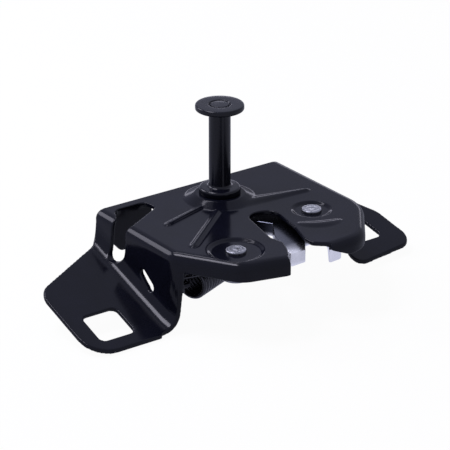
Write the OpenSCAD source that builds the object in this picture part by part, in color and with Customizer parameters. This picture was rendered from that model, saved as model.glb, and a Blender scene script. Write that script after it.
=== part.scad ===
// Bonnet latch: a pressed frame that carries a guide pin, a fork claw, a pawl and their springs.
// The origin is on the guide pin's axis, on the plate's top surface. +Z runs up the pin, +X across the car
// and -Y towards the striker. The claw is drawn open.

/* [Plate] */
// Thickness of the steel sheet
sheet_t = 2; // [1.6:0.1:2.4]
// From the pin's axis to the outer face of the left wall
left_x = 51.4; // [49:0.2:55]
// From the pin's axis to the outer face of the right skirt
right_x = 47.2; // [46:0.2:48]
// From the pin's axis to the back edge
back_y = 19.5; // [18.5:0.5:20.5]
// Outer radius of the bend along the plate's edges
bend_r = 4; // [3.2:0.1:5]
// Depth of the left cheek's skirt below the top
left_skirt = 8; // [7:0.5:10]
// Depth of the right cheek's skirt below the top
right_skirt = 7; // [6:0.5:9]

/* [Cheeks] */
// Where the left edge turns into the left cheek
kink_y = -34; // [-36:0.5:-32]
// Radius of that turn
kink_r = 8; // [6:0.5:10]
// Angle of the left cheek's edge from the left wall
cheek_turn = 31; // [28:1:34]
// Straight length of the left cheek's edge
cheek_len = 26; // [24:0.5:28]
// Radius of the left cheek's front corner
cheek_r = 10; // [8:0.5:12]
// How far forward of the pin's axis the cheeks reach
front_y = 69; // [67:0.5:72]
// Radius of the right cheek's outer side
right_cheek_r = 22; // [20:0.5:24]
// Radius of the right cheek's front
right_lip_r = 17.1; // [15:0.1:18]

/* [Mouth] */
// From the pin's axis to the centre of the mouth's closed end, across
mouth_x = 3.2; // [2.6:0.1:3.8]
// From the pin's axis to the centre of the mouth's closed end, forward
mouth_y = -29; // [-30:0.1:-28.4]
// Width of the mouth
mouth_w = 13.2; // [12:0.2:14]
// Lean of the mouth from the straight-ahead line
mouth_lean = 11; // [8:1:13]
// Width of the neck that the striker passes on its way in
neck_w = 9.7; // [9:0.1:11]
// How far from the mouth's closed end the neck is
neck_at = 26.4; // [25:0.2:28]

/* [Boss and ribs] */
// Height of the boss under the guide pin
boss_h = 2.5; // [1.5:0.1:3]
// Radius of the boss at the plate's surface
boss_r = 15.6; // [14:0.2:17]
// Radius of the boss's flat top
boss_top_r = 10.8; // [10:0.2:11.5]
// Height of the ribs
rib_h = 1.1; // [0.6:0.1:1.4]
// Half width of the left ribs at the boss
left_rib_root = 2; // [1.6:0.1:2.6]
// Half width of the right rib at the boss
right_rib_root = 6.4; // [5.6:0.1:6.8]
// Half width of the ribs at their tips
rib_tip = 2.4; // [1.8:0.1:2.8]
// Half width of the bead in front of the claw's rivet
bead_half = 4.4; // [3.6:0.1:4.8]
// Depth of the dishes under the rivet heads
dish_d = 1; // [0.6:0.1:1.2]
// Radius of the dish round the pawl's rivet
pawl_dish_r = 12; // [10.5:0.5:13]
// Radius of the dish round the claw's rivet
claw_dish_r = 8.8; // [8.4:0.2:10]

/* [Flanges] */
// Tilt of the bolt flanges, front down
flange_tilt = 18; // [15:1:20]
// Depth of the flanges' top surface below the plate at the pin's axis
flange_drop = 18.4; // [17.8:0.1:19]
// From the pin's axis to the left flange's outer edge
left_flange_x = 93.4; // [91:0.2:97]
// From the pin's axis to the right flange's widest point
right_flange_x = 82.2; // [80:0.2:84]
// Inner radius of the bends between the walls and the flanges
flange_bend_r = 6.5; // [5:0.5:7]
// How far the left wall leans out at the back
wall_flare = 1.4; // [1:0.2:3]
// Side of the square bolt window
window_w = 16.4; // [14:0.2:18]
// Width of the open bolt slot in the right flange
slot_w = 22; // [20:0.5:23]

/* [Guide pin] */
// Radius of the pin's shaft
pin_r = 4.7; // [4:0.1:5]
// Radius of the pin's head
pin_head_r = 10.5; // [9:0.1:12]
// Thickness of the pin's head
pin_head_t = 2.4; // [1.8:0.1:3]
// Height of the pin's top above the plate
pin_top = 43; // [38:0.5:48]
// Radius of the collar at the pin's foot
collar_r = 9; // [7.5:0.1:9.5]
// Thickness of that collar
collar_t = 3; // [2:0.1:4]

/* [Pivots] */
// From the pin's axis to the claw's rivet, across
claw_x = 24.2; // [23.6:0.1:24.8]
// From the pin's axis to the claw's rivet, forward
claw_y = -33.3; // [-33.9:0.1:-32.7]
// From the pin's axis to the pawl's rivet, across
pawl_x = -27.1; // [-27.6:0.1:-26.6]
// From the pin's axis to the pawl's rivet, forward
pawl_y = -48.8; // [-49.3:0.1:-48.3]
// Radius of the rivet heads
rivet_head_r = 4.3; // [4:0.1:5]
// Height of the rivet heads
rivet_head_h = 1.3; // [1:0.1:1.6]
// Radius of the journals that the claw and the pawl turn on
journal_r = 4; // [3.6:0.1:4.4]
// Radial running clearance on the journals
run_fit = 0.05; // [0.02:0.01:0.08]
// Gap above and below the claw and the pawl
side_gap = 0.1; // [0.06:0.02:0.2]
// Thickness of the washers
washer_t = 1; // [0.8:0.1:1.2]
// Outer radius of the washers
washer_r = 7.6; // [6.6:0.1:8]
// Thickness of the washer between the pawl and its spring
thin_washer_t = 0.5; // [0.4:0.1:1]

/* [Claw] */
// Thickness of the claw
claw_t = 6; // [5:0.2:6.6]
// Radius of the claw's hub
claw_hub_r = 12; // [11:0.2:13]
// Distance from the claw's axis to the striker's seat
seat_r = 19.8; // [19:0.1:21]
// Bearing of the striker's seat when open
seat_bearing = 238; // [235:1:241]
// Width of the notch for the striker
notch_w = 9.7; // [9:0.1:10.5]
// Farthest reach of the claw from its axis
claw_reach = 39.4; // [38:0.2:40]
// Distance from the claw's axis to its spring post
post_arm = 25; // [23.5:0.5:26]
// Bearing of the spring post when open
post_bearing = 138; // [134:1:142]

/* [Pawl] */
// Thickness of the pawl
pawl_t = 3.6; // [3.2:0.2:4.4]
// Radius of the pawl's hub
pawl_hub_r = 10.5; // [9.6:0.1:11]
// Distance from the pawl's axis to the centre of its nose
nose_arm = 25; // [23:0.5:26]
// Radius of the nose
nose_r = 4; // [3.4:0.1:4.5]
// Gap between the nose and the claw's sweep
nose_gap = 0.6; // [0.45:0.05:0.9]
// Length of the release arm
release_arm = 50; // [46:0.5:53]

/* [Springs] */
// Wire radius of the tension spring
wire_r = 1; // [0.8:0.05:1.05]
// Mean coil radius of the tension spring
coil_r = 5.5; // [5:0.1:5.8]
// Number of turns of the tension spring
coil_turns = 13; // [11:1:14]
// Height of the tension spring's axis
spring_z = -17.6; // [-18.4:0.1:-17.4]
// Wire radius of the torsion spring
torsion_wire_r = 0.5; // [0.4:0.05:0.6]

/* [Hidden] */
paint = [0.13, 0.13, 0.17];
zinc = [0.74, 0.77, 0.82];
dark_steel = [0.22, 0.22, 0.23];
eps = 0.01;
bead_sink = 0.04;
far = 200;

// Flange surface and wall positions
flange_slope = tan(flange_tilt);
function flange_z(y) = -flange_drop + flange_slope * y;
wall_front_y = -41;
flange_front_y = -42.4;
leg_front_y = -3;
slot_back_y = back_y - 4.5;
tab_z = spring_z + 4.2;

// Plan positions
right_lip_x = right_x - 29.8;
mouth_at = [mouth_x, mouth_y];
claw_at = [claw_x, claw_y];
pawl_at = [pawl_x, pawl_y];

// Heights of the stack on each pivot
under_dish = -dish_d - sheet_t;
lever_top = under_dish - washer_t - side_gap;
claw_bottom = lever_top - claw_t;
claw_stack = claw_bottom - side_gap - washer_t;
pawl_bottom = lever_top - pawl_t;
pawl_stack = pawl_bottom - side_gap - thin_washer_t;
torsion_turns = 1.75;
torsion_pitch = 2 * torsion_wire_r + 0.15;
torsion_h = torsion_turns * torsion_pitch + 2 * torsion_wire_r + 0.3;
pivot_head_r = 6.2;
pivot_head_t = 1;
shank_r = 3;
shank_fit = 0.03;

// The tension spring lies between a tab on the wall and the claw's post
post_at = claw_at + post_arm * [cos(post_bearing), sin(post_bearing)];
post_r = 2;
tab_at = [-46.6, -38];
spring_run = norm(post_at - tab_at);
spring_bearing = atan2(post_at.y - tab_at.y, post_at.x - tab_at.x);
coil_start = 7;
coil_pitch = 2 * wire_r + 0.2;

// The pawl's nose stands just outside the circle that the claw sweeps
pivot_gap = norm(claw_at - pawl_at);
pivot_bearing = atan2(claw_at.y - pawl_at.y, claw_at.x - pawl_at.x);
nose_reach = claw_reach + nose_r + nose_gap;
nose_turn = acos((nose_arm ^ 2 + pivot_gap ^ 2 - nose_reach ^ 2) / (2 * nose_arm * pivot_gap));
nose_at = nose_arm * [cos(pivot_bearing + nose_turn), sin(pivot_bearing + nose_turn)];
release_bearing = 89;
release_at = release_arm * [cos(release_bearing), sin(release_bearing)];
release_hole_r = 2.2;
arm_root = pawl_hub_r - 2;
arm_tip = 4.6;
side_sink = 0.1;
wall_leg_y = -39.6;

$fn = 48;

// Plane outlines with rounded corners, given as [x, y, radius]
function unit(v) = v / norm(v);
function turn(a) = (a + 540) % 360 - 180;
function arc(c, r, a0, a1, n) = [
    for (k = [0 : n])
        let (a = a0 + (a1 - a0) * k / n)
        c + r * [cos(a), sin(a)]
];
function corner(p, a, b, r) =
    r <= 0 ? [p] :
    let (
        u = unit(a - p),
        v = unit(b - p),
        half = acos(u * v) / 2,
        c = p + unit(u + v) * r / sin(half),
        s = p + u * r / tan(half) - c,
        e = p + v * r / tan(half) - c,
        a0 = atan2(s.y, s.x)
    )
    arc(c, r, a0, a0 + turn(atan2(e.y, e.x) - a0), 8);
function flat(p) = [p.x, p.y];
function rounded(pts) =
    let (n = len(pts))
    [
        for (i = [0 : n - 1])
            each corner(flat(pts[i]), flat(pts[(i + n - 1) % n]), flat(pts[(i + 1) % n]), pts[i].z)
    ];

// A closed skin over rings that all have the same number of points
module skin(rings) {
    n = len(rings[0]);
    last = len(rings) - 1;
    polyhedron(
        points = [for (ring = rings) each ring],
        faces = concat(
            [[for (k = [0 : n - 1]) k]],
            [for (i = [0 : last - 1], k = [0 : n - 1]) each [
                [i * n + k, (i + 1) * n + k, i * n + (k + 1) % n],
                [i * n + (k + 1) % n, (i + 1) * n + k, (i + 1) * n + (k + 1) % n]
            ]],
            [[for (k = [n - 1 : -1 : 0]) last * n + k]]
        )
    );
}

// Round wire along a path
function along(path, i) = unit(path[min(i + 1, len(path) - 1)] - path[max(i - 1, 0)]);
function side_of(v, t) = unit(v - (v * t) * t);
module wire(path, r, first_side) {
    sides = [
        for (i = 0, s = side_of(first_side, along(path, 0)); i < len(path);
            i = i + 1, s = side_of(s, along(path, min(i, len(path) - 1)))) s
    ];
    skin([
        for (i = [0 : len(path) - 1])
            let (s = sides[i], b = cross(along(path, i), s))
            [for (k = [0 : 7]) path[i] - r * (cos(k * 45) * s + sin(k * 45) * b)]
    ]);
}

// Frame plate

// The circles that the plate's outline wraps, anticlockwise from the front, as [x, y, radius]
function former_posts() =
    let (
        normal = [-cos(cheek_turn), -sin(cheek_turn)],
        forward = [sin(cheek_turn), -cos(cheek_turn)],
        kink = [-left_x + kink_r, kink_y],
        cheek = kink + (kink_r - cheek_r) * normal + cheek_len * forward,
        lip_r = 8.5
    )
    [
        [-14, -front_y + lip_r, lip_r],
        [right_lip_x, -front_y + right_lip_r + 0.7, right_lip_r],
        [right_x - right_cheek_r, kink_y + 1, right_cheek_r],
        [right_x - kink_r, 2 * back_y, kink_r],
        [-left_x + kink_r, 2 * back_y, kink_r],
        [kink.x, kink.y, kink_r],
        [cheek.x, cheek.y, cheek_r]
    ];

// Bearing of the outward normal on the line that wraps two circles
function wrap_bearing(a, b) =
    atan2(b.y - a.y, b.x - a.x) - acos((a.z - b.z) / norm(flat(b) - flat(a)));

// The outline drawn in by inset
function wrapped(posts, inset) = [
    for (i = [0 : len(posts) - 1])
        let (
            c = posts[i],
            a0 = wrap_bearing(posts[(i + len(posts) - 1) % len(posts)], c),
            a1 = wrap_bearing(c, posts[(i + 1) % len(posts)])
        )
        each arc(flat(c), c.z - inset, a0, a0 + turn(a1 - a0), 10)
];

// The solid that the plate and its skirts wrap, shrunk by inset for the inside
module former(inset) {
    edge = bend_r - inset;
    posts = former_posts();
    function ring(more, z) = [for (p = wrapped(posts, inset + more)) [p.x, p.y, z]];
    skin(concat(
        [ring(0, -far / 4)],
        [for (a = [0 : 11.25 : 90]) ring(edge * (1 - cos(a)), -bend_r + edge * sin(a))]
    ));
}

// Everything below the plate that isn't skirt
module skirt_trim() {
    split_x = -10;
    translate([split_x, -far, -far])
        cube([far, far + leg_front_y, far - right_skirt]);
    translate([-left_x + bend_r, leg_front_y - eps, -far])
        cube([far, far, far - bend_r]);
    translate([-far / 2, wall_front_y - far, -far])
        cube([far / 2 + split_x + eps, far, far - left_skirt]);
    translate([-left_x + bend_r, wall_front_y - far, -far])
        cube([left_x - bend_r + split_x + eps, 2 * far, far - left_skirt]);
    translate([-far / 2, wall_front_y, -far])
        cube([far / 2 - left_x + bend_r + eps, far, far - bend_r]);
    translate([-far / 2, back_y, -far / 2])
        cube(far);
    translate([0, -far / 4, 0])
        rotate([90, 0, 0])
            linear_extrude(far / 2)
                polygon([[split_x, -far], [split_x, -sheet_t - 0.3], [right_lip_x - 10, -sheet_t - 0.5],
                    [right_lip_x, -right_skirt], [right_lip_x, -far]]);
}

// How far the wall's top lies inside the left face, where the wall turns into the cheek
function edge_in(y) =
    let (d = kink_y - y, k = kink_r * sin(cheek_turn))
    d <= 0 ? 0 :
    d < k ? kink_r - sqrt(kink_r ^ 2 - d ^ 2) :
    kink_r * (1 - cos(cheek_turn)) + (d - k) * tan(cheek_turn);
function lean(y, flare) = max(0.6, 0.6 + (flare - 0.6) * (y - kink_y) / (back_y - kink_y - 5));
function wall_out(y) = lean(y, wall_flare) + edge_in(y);

// Inner face of the left wall at a y and a z above the flange's bend
function wall_face(y, z) =
    -left_x + edge_in(y) - wall_out(y) * (bend_r + z) / (bend_r + flange_z(y)) + sheet_t;

// Section of a wall, its bend and its flange at one y, for a wall on the right
function wing_ring(y, wall_x, out, reach) =
    let (
        z = flange_z(y),
        slant = atan2(out, -bend_r - z),
        n_wall = [-cos(slant), -sin(slant)],
        n_flange = [0, -1],
        t = sheet_t,
        top = [wall_x, -bend_r],
        foot = [wall_x + out, z],
        foot_in = foot + t * (n_wall + n_flange) / (1 + n_wall * n_flange),
        tip = [reach, z],
        upper = concat([top], corner(foot, top, tip, flange_bend_r), [tip]),
        top_in = top - [t / cos(slant), 0],
        tip_in = tip - [0, t],
        lower = concat([top_in], corner(foot_in, top_in, tip_in, flange_bend_r + t), [tip_in]),
        m = len(lower)
    )
    [for (p = concat(upper, [for (i = [0 : m - 1]) lower[m - 1 - i]])) [p.x, y, p.y]];

module left_wing() {
    step = 1.4;
    rows = concat(
        [flange_front_y - 2],
        [for (k = [5 : -1 : 0]) kink_y - k * step],
        [kink_y / 2, 0, back_y + 1]
    );
    outline = rounded([
        [-left_x + sheet_t + 6, back_y, 0],
        [-left_x + 0.3, back_y, 0.8],
        [-left_x - 4.6, back_y - 4.6, 4],
        [-left_flange_x, -1.6, 9],
        [-left_flange_x, flange_front_y, 12],
        [-left_x - 8.6, flange_front_y, 0.6],
        [-left_x - 7.4, wall_front_y, 0.6],
        [-left_x + sheet_t + 6, wall_front_y, 0]
    ]);
    intersection() {
        mirror([1, 0, 0])
            skin([for (y = rows) wing_ring(y, left_x - edge_in(y), wall_out(y), left_flange_x + 1)]);
        translate([0, 0, -far / 2])
            linear_extrude(far)
                polygon(outline);
    }
}

module right_wing() {
    finger = right_x + 0.8;
    slot_front = -25.6;
    bar_front = slot_front + slot_w;
    outline = rounded([
        [right_x - 6, back_y, 0],
        [right_flange_x - 24, back_y, 6],
        [right_flange_x - 3.6, -11.5, 10],
        [right_flange_x, -33.6, 7],
        [finger, -37.2, 4.6],
        [finger, slot_front - 0.4, 4.6],
        [right_flange_x - 11.8, slot_front, 2.5],
        [right_flange_x - 15.5, bar_front, 5],
        [right_x - 6, leg_front_y, 0]
    ]);
    rows = [
        [-40, finger - 12],
        [slot_front + 8, finger - 12],
        [leg_front_y - 4, right_x],
        [back_y + 1, right_x]
    ];
    intersection() {
        skin([for (row = rows) wing_ring(row[0], row[1], lean(row[0], 1), right_flange_x + 1)]);
        translate([0, 0, -far / 2])
            linear_extrude(far)
                polygon(outline);
    }
}

// A pressed bead along a path of [x, y, half width, height]
module bead(path) {
    last = len(path) - 1;
    function ahead(i) = unit(flat(path[min(i + 1, last)]) - flat(path[max(i - 1, 0)]));
    function point(i, u, z) = let (d = ahead(i), p = path[i]) [p.x + d.y * u * p.z, p.y - d.x * u * p.z, z];
    skin([
        for (i = [0 : last])
            concat(
                [point(i, -1, -sheet_t / 2)],
                [for (u = [-1 : 0.25 : 1]) point(i, u, path[i][3] * (1 + cos(180 * u)) / 2 - bead_sink)],
                [point(i, 1, -sheet_t / 2)]
            )
    ]);
}

// A straight tapering bead that starts inside the boss and has a rounded tip
module rib(from, to, root) {
    steps = 6;
    tip = unit(to - from) * rib_tip;
    bead(concat(
        [concat(from, [root, rib_h]), concat(to - tip, [rib_tip, rib_h])],
        [for (k = [1 : steps])
            let (a = 84 * k / steps)
            concat(to - tip + tip * sin(a), [rib_tip * cos(a), rib_h * cos(a)])]
    ));
}

// Pressed shapes that stand up from the plate
module reliefs() {
    bead_arm = 16.8;
    bead_h = 0.8;
    slope = (boss_r - boss_top_r) / boss_h;
    mid = sheet_t / 2;
    translate([0, 0, -mid])
        cylinder(h = boss_h + mid, r1 = boss_r + slope * mid, r2 = boss_top_r);
    rib([-9, -3.4], [-36.6, -12], left_rib_root);
    rib([-9.6, -12.2], [-40.6, -37], left_rib_root);
    rib([3, -10.3], [36.2, -16.3], right_rib_root);
    bead([
        for (k = [0 : 14])
            let (a = 213 + 66 * k / 14, s = sqrt(sin(12 + 156 * k / 14)))
            concat(claw_at + bead_arm * [cos(a), sin(a)], [bead_half * s, bead_h * s])
    ]);
}

module dish(at, r) {
    translate([at.x, at.y, -dish_d])
        cylinder(h = dish_d, r1 = r - 1.6, r2 = r);
}

module mouth() {
    half = mouth_w / 2;
    neck = neck_w / 2;
    ahead = [-sin(mouth_lean), -cos(mouth_lean)];
    across = [cos(mouth_lean), -sin(mouth_lean)];
    function at(run, off) = mouth_at + run * ahead + off * across;
    function knot(run, off, r) = concat(at(run, off), [r]);
    translate([0, 0, -far / 2])
        linear_extrude(far)
            polygon(rounded([
                knot(-half, -half, half - 0.6),
                knot(-half, half, half - 0.6),
                knot(neck_at - 12, half, 10),
                knot(neck_at, neck, 2.5),
                knot(neck_at + 5.2, neck + 0.9, 3),
                knot(neck_at + 9, neck + 7.4, 0),
                knot(2 * front_y, neck + 7.4, 0),
                knot(2 * front_y, -neck - 4.2, 0),
                knot(neck_at + 13, -neck - 4.2, 0),
                knot(neck_at + 7.3, -neck - 1.6, 8),
                knot(neck_at, -neck, 3),
                knot(neck_at - 6.4, -half - 0.9, 3)
            ]));
}

// The slot for the release cable, through the plate, over the bend and down the wall
module cable_slot() {
    slot_y = 1.8;
    slot_half = 4.85;
    slot_end_z = flange_z(slot_y) + slot_half + 1;
    through = 8 + 1.3 * sheet_t;
    translate([0, 0, -bend_r - sheet_t])
        linear_extrude(far)
            polygon(rounded([
                [-left_x - 8, slot_y + slot_half, 0],
                [-left_x + 2.6, slot_y + slot_half, 3],
                [-left_x + 7, slot_back_y, 5],
                [-28.6, slot_back_y, 3.8],
                [-28.6, 7.4, 3.2],
                [-left_x + 4, slot_y - slot_half, 3],
                [-left_x - 8, slot_y - slot_half, 0]
            ]));
    translate([-left_x - 8, slot_y, slot_end_z])
        rotate([0, 90, 0]) {
            cylinder(h = through, r = slot_half);
            translate([-far, -slot_half, 0])
                cube([far, 2 * slot_half, through]);
        }
}

// The tab that is bent down from the slot's back edge
module slot_tab() {
    left = -left_x + 5.6;
    right = -25;
    translate([0, slot_back_y + sheet_t, 0])
        rotate([90, 0, 0])
            linear_extrude(sheet_t)
                polygon(rounded([
                    [left, -sheet_t / 2, 0],
                    [left, -15, 3],
                    [left + 4.4, -20, 3],
                    [left + 10, -20, 4],
                    [right, -9, 3],
                    [right, -sheet_t / 2, 0]
                ]));
}

// The small slanted window in the wall
module wall_window() {
    length = 7.4;
    half = 1.8;
    translate([-left_x - 6, -16.7, -16])
        rotate([35, 0, 0])
            translate([0, -length, 0])
                rotate([0, 90, 0]) {
                    cylinder(h = 10, r = half);
                    translate([0, length, 0])
                        cylinder(h = 10, r = half);
                    translate([-half, 0, 0])
                        cube([2 * half, length, 10]);
                }
}

module bolt_window() {
    in_plane = -34;
    r = 2.6;
    half = window_w / 2;
    translate([-left_flange_x + 16.3, 3.7, flange_z(3.7)])
        rotate([flange_tilt, 0, 0])
            translate([0, in_plane, -far / 2])
                linear_extrude(far)
                    polygon(rounded([
                        for (c = [[-1, -1], [1, -1], [1, 1], [-1, 1]])
                            [c.x * half, c.y * half, r]
                    ]));
}

// Inward tab on the wall with a hole for the spring's hook
module spring_tab() {
    half = 2.6;
    function in_wall(y) = [wall_face(y, tab_z) - 0.6 * sheet_t, y];
    difference() {
        translate([0, 0, tab_z - sheet_t])
            linear_extrude(sheet_t)
                polygon([
                    in_wall(tab_at.y - half),
                    [tab_at.x + half, tab_at.y - half],
                    [tab_at.x + half, tab_at.y + half],
                    in_wall(tab_at.y + half)
                ]);
        translate([tab_at.x, tab_at.y, tab_z - 2 * sheet_t])
            cylinder(h = 4 * sheet_t, r = wire_r + 0.15);
    }
}

module frame_plate() color(paint) {
    difference() {
        union() {
            difference() {
                former(0);
                former(sheet_t);
                skirt_trim();
            }
            left_wing();
            right_wing();
            spring_tab();
            slot_tab();
            reliefs();
            translate([0, 0, -sheet_t]) {
                dish(pawl_at, pawl_dish_r);
                dish(claw_at, claw_dish_r);
            }
        }
        translate([0, 0, -sheet_t])
            reliefs();
        dish(pawl_at, pawl_dish_r);
        dish(claw_at, claw_dish_r);
        for (at = [claw_at, pawl_at])
            translate([at.x, at.y, -far / 2])
                cylinder(h = far, r = shank_r);
        translate([0, 0, -far / 2])
            cylinder(h = far, r = shank_r + 1);
        mouth();
        cable_slot();
        wall_window();
        bolt_window();
    }
}

// Guide pin and pivots

module guide_pin() color(paint) {
    upset_r = 6.5;
    upset_t = 1.6;
    chamfer = 0.4;
    foot = boss_h + collar_t;
    neck = 0.9;
    dimple_r = 4.2;
    dimple_d = 0.6;
    plate_in = boss_h - sheet_t;
    shank = shank_r + 1 - shank_fit;
    difference() {
        rotate_extrude()
            polygon(concat(
                [[0, plate_in - upset_t], [upset_r, plate_in - upset_t], [upset_r, plate_in], [shank, plate_in],
                    [shank, boss_h], [collar_r - 0.3, boss_h], [collar_r, boss_h + 0.3], [collar_r, foot - 0.5],
                    [collar_r - 0.5, foot]],
                arc([pin_r + neck, foot + neck], neck, 270, 180, 6),
                [[pin_r, pin_top - pin_head_t], [pin_head_r - chamfer, pin_top - pin_head_t],
                    [pin_head_r, pin_top - pin_head_t + chamfer], [pin_head_r, pin_top - chamfer],
                    [pin_head_r - chamfer, pin_top], [0, pin_top]]
            ));
        translate([0, 0, pin_top - dimple_d])
            cylinder(h = 2 * dimple_d, r1 = dimple_r - dimple_d, r2 = dimple_r + dimple_d);
    }
}

// Stepped rivet: head in the dish, shank through the sheet, journal for the lever and a head below
module stepped_rivet(bottom) {
    rise = -dish_d + rivet_head_h;
    translate([0, 0, -dish_d])
        intersection() {
            cylinder(h = rivet_head_h, r = rivet_head_r);
            translate([0, 0, rivet_head_h - 3 * rivet_head_r])
                sphere(3 * rivet_head_r, $fn = 96);
        }
    translate([0, 0, under_dish - eps])
        cylinder(h = rise - rivet_head_h / 2 - under_dish, r = shank_r - shank_fit);
    translate([0, 0, bottom - eps])
        cylinder(h = under_dish - bottom + eps, r = journal_r);
    translate([0, 0, bottom - pivot_head_t])
        cylinder(h = pivot_head_t, r = pivot_head_r);
}

module claw_pivot() color(zinc)
    translate([claw_at.x, claw_at.y, 0])
        stepped_rivet(claw_stack);

module pawl_pivot() color(zinc)
    translate([pawl_at.x, pawl_at.y, 0])
        stepped_rivet(pawl_stack - torsion_h);

module washer(at, top, t) {
    translate([at.x, at.y, top - t])
        difference() {
            cylinder(h = t, r = washer_r);
            translate([0, 0, -t])
                cylinder(h = 3 * t, r = journal_r + run_fit);
        }
}

module claw_upper_washer() color(zinc) washer(claw_at, under_dish, washer_t);
module claw_lower_washer() color(zinc) washer(claw_at, claw_bottom - side_gap, washer_t);
module pawl_upper_washer() color(zinc) washer(pawl_at, under_dish, washer_t);
module pawl_lower_washer() color(zinc) washer(pawl_at, pawl_bottom - side_gap, thin_washer_t);

// Claw: a fork with a seat for the striker, and an arm for its spring
module claw_outline() {
    seat = seat_r * [cos(seat_bearing), sin(seat_bearing)];
    open_way = unit([-0.59, -0.81]);
    across = [-open_way.y, open_way.x];
    half = notch_w / 2;
    inner_tip = seat + 13.4 * open_way - half * across;
    outer_tip = claw_reach * [cos(219.8), sin(219.8)];
    hook_tip = seat + 14.6 * open_way + half * across;
    post = post_arm * [cos(post_bearing), sin(post_bearing)];
    arm_r = post_r + 3.4;
    difference() {
        union() {
            circle(claw_hub_r);
            polygon(rounded([
                [0, 8, 0],
                [-16.4, 6, 3],
                [-24.6, -6.6, 12],
                concat(outer_tip, [1]),
                concat(inner_tip, [0.8]),
                concat(inner_tip - 8 * open_way, [0]),
                concat(hook_tip - 8 * open_way, [0]),
                concat(hook_tip, [0.8]),
                [hook_tip.x + 7, hook_tip.y + 0.6, 2.5],
                [9.5, -7.3, 6]
            ]));
            polygon([
                claw_hub_r * [cos(post_bearing + 80), sin(post_bearing + 80)],
                claw_hub_r * [cos(post_bearing - 80), sin(post_bearing - 80)],
                post + arm_r * [cos(post_bearing - 75), sin(post_bearing - 75)],
                post + arm_r * [cos(post_bearing + 75), sin(post_bearing + 75)]
            ]);
            translate(post)
                circle(arm_r);
        }
        translate(seat)
            circle(half);
        polygon([seat + half * across, seat - half * across, seat - half * across + 30 * open_way,
            seat + half * across + 30 * open_way]);
    }
}

module claw() color(zinc)
    translate([claw_at.x, claw_at.y, claw_bottom])
        difference() {
            linear_extrude(claw_t)
                claw_outline();
            translate([0, 0, -claw_t])
                cylinder(h = 3 * claw_t, r = journal_r + run_fit);
            translate([post_at.x - claw_at.x, post_at.y - claw_at.y, -claw_t])
                cylinder(h = 3 * claw_t, r = post_r);
        }

module spring_post() color(zinc)
    translate([post_at.x, post_at.y, 0]) {
        low = spring_z - 1.6 * wire_r;
        translate([0, 0, low])
            cylinder(h = lever_top - low, r = post_r - shank_fit);
        translate([0, 0, low - 1.2])
            cylinder(h = 1.2, r = post_r + 1.4);
        translate([0, 0, claw_bottom - 1])
            cylinder(h = 1, r = post_r + 1.2);
    }

// Ends of a lever's straight side, from a round at the pivot to a round elsewhere, on side s
function lever_side(r, at, r2, s) =
    let (b = atan2(at.y, at.x), a = b + s * acos((r - r2) / norm(at)))
    [(r - side_sink) * [cos(a), sin(a)], at + (r2 - side_sink) * [cos(a), sin(a)]];

// Left edge of the pawl's release arm at a distance y from its pivot
function arm_edge(y) =
    let (e = lever_side(arm_root, release_at, arm_tip, 1))
    e[0].x + (e[1].x - e[0].x) * (y - e[0].y) / (e[1].y - e[0].y);

// Pawl: a nose for the claw and a long arm for the release cable
module pawl_outline() {
    nose_right = lever_side(pawl_hub_r, nose_at, nose_r, -1);
    nose_left = lever_side(pawl_hub_r, nose_at, nose_r, 1);
    arm_right = lever_side(arm_root, release_at, arm_tip, -1);
    arm_left = lever_side(arm_root, release_at, arm_tip, 1);
    circle(pawl_hub_r);
    polygon([nose_right[0], nose_right[1], nose_left[1], nose_left[0]]);
    translate(nose_at)
        circle(nose_r);
    polygon([arm_right[0], arm_right[1], arm_left[1], arm_left[0]]);
    translate(release_at)
        circle(arm_tip);
}

module pawl() color(dark_steel)
    translate([pawl_at.x, pawl_at.y, pawl_bottom])
        difference() {
            linear_extrude(pawl_t)
                pawl_outline();
            translate([0, 0, -pawl_t])
                cylinder(h = 3 * pawl_t, r = journal_r + run_fit);
            translate([release_at.x, release_at.y, -pawl_t])
                cylinder(h = 3 * pawl_t, r = release_hole_r);
        }

// Springs

// Tension spring in its own frame: X along its axis from the tab to the post
function tension_path() =
    let (
        coil_end = coil_start + coil_turns * coil_pitch + 0.25 * coil_pitch,
        steps = round((coil_turns + 0.25) * 14),
        hook_r = post_r + wire_r + 0.02
    )
    concat(
        [[0, 0, -0.6], [0, 0, 1.4], [0, 0, 4.6], [0.5, 0, 6.4], [1.9, 0, 7.5], [3.6, 0, 7.4], [5.2, 0, 6.4]],
        [for (i = [0 : steps])
            let (a = 90 + 360 * i / 14)
            [coil_start + coil_pitch * i / 14, -coil_r * cos(a), coil_r * sin(a)]],
        [[coil_end + 2, -coil_r + 0.9, -2.2], [coil_end + 4.6, -hook_r - 0.6, -2.2],
            [coil_end + 7.5, -hook_r, -1.2], [coil_end + 10.5, -hook_r, 0]],
        [for (a = [-90 : 15 : 105]) [spring_run + hook_r * cos(a), hook_r * sin(a), 0]]
    );

module claw_spring() color(dark_steel)
    translate([tab_at.x, tab_at.y, spring_z])
        rotate([0, 0, spring_bearing])
            wire(tension_path(), wire_r, [0, 1, 0]);

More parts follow.
